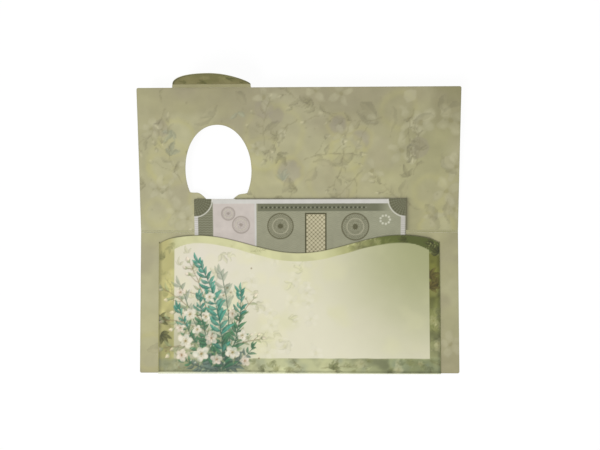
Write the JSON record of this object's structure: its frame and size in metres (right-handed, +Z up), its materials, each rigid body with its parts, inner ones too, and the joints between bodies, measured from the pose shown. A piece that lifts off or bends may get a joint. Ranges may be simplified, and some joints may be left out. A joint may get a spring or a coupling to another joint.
{
  "type": "gift card holder",
  "caption": "Folded card gift envelope with a glued pocket, a windowed cover that hinges on a scored spine and a half-oval tuck tab, shown open with a paper slip in its pocket.",
  "frame": {"origin": "middle of the back panel's underside, where the folder rests on a table", "axes": "+X across the folder, +Y from the pocket's bottom fold to the cover, +Z up out of the open folder"},
  "size_m": [0.225, 0.2059, 0.0316],
  "materials": {
    "inner_card": "matt laminated card with a faint botanical print",
    "printed_card": "satin laminated card, printed cream and sage field in an olive border",
    "creased_card": "scored and pressed card",
    "adhesive": "dried adhesive film",
    "slip_paper": "uncoated paper slip with fine printed bands"
  },
  "bodies": {
    "root": {"back_panel": "inner_card", "pocket_front": "printed_card", "pocket_bottom_fold": "printed_card", "left_side_fold": "printed_card", "right_side_fold": "printed_card", "left_glue_flap": "inner_card", "right_glue_flap": "inner_card", "left_glue_strip": "adhesive", "right_glue_strip": "adhesive", "slip_tucked_part": "slip_paper", "spine_lower_crease": "creased_card"},
    "spine": {"spine_strip": "inner_card", "spine_upper_crease": "creased_card"},
    "cover": {"cover_panel": "inner_card", "slip_raised_part": "slip_paper", "tab_base_crease": "creased_card"},
    "tab": {"tab_strip": "inner_card", "tongue_crease": "creased_card"},
    "tongue": {"tab_tongue": "inner_card"}
  },
  "joints": [
    {"name": "spine_fold", "type": "hinge", "parent": "root", "child": "spine", "pos_m": [0, 0.0495, 0.00017], "axis": [1, 0, 0], "range_deg": [-4.5, 85.5]},
    {"name": "cover_fold", "type": "hinge", "parent": "spine", "child": "cover", "pos_m": [0, 0.051, 0.00029], "axis": [1, 0, 0], "range_deg": [-4.5, 85.5]},
    {"name": "tab_fold", "type": "hinge", "parent": "cover", "child": "tab", "pos_m": [-0.0602, 0.14976, 0.01594], "axis": [1, 0, 0], "range_deg": [0, 90]},
    {"name": "tongue_fold", "type": "hinge", "parent": "tab", "child": "tongue", "pos_m": [-0.0602, 0.15213, 0.01631], "axis": [1, 0, 0], "range_deg": [-68, 22]}
  ]
}
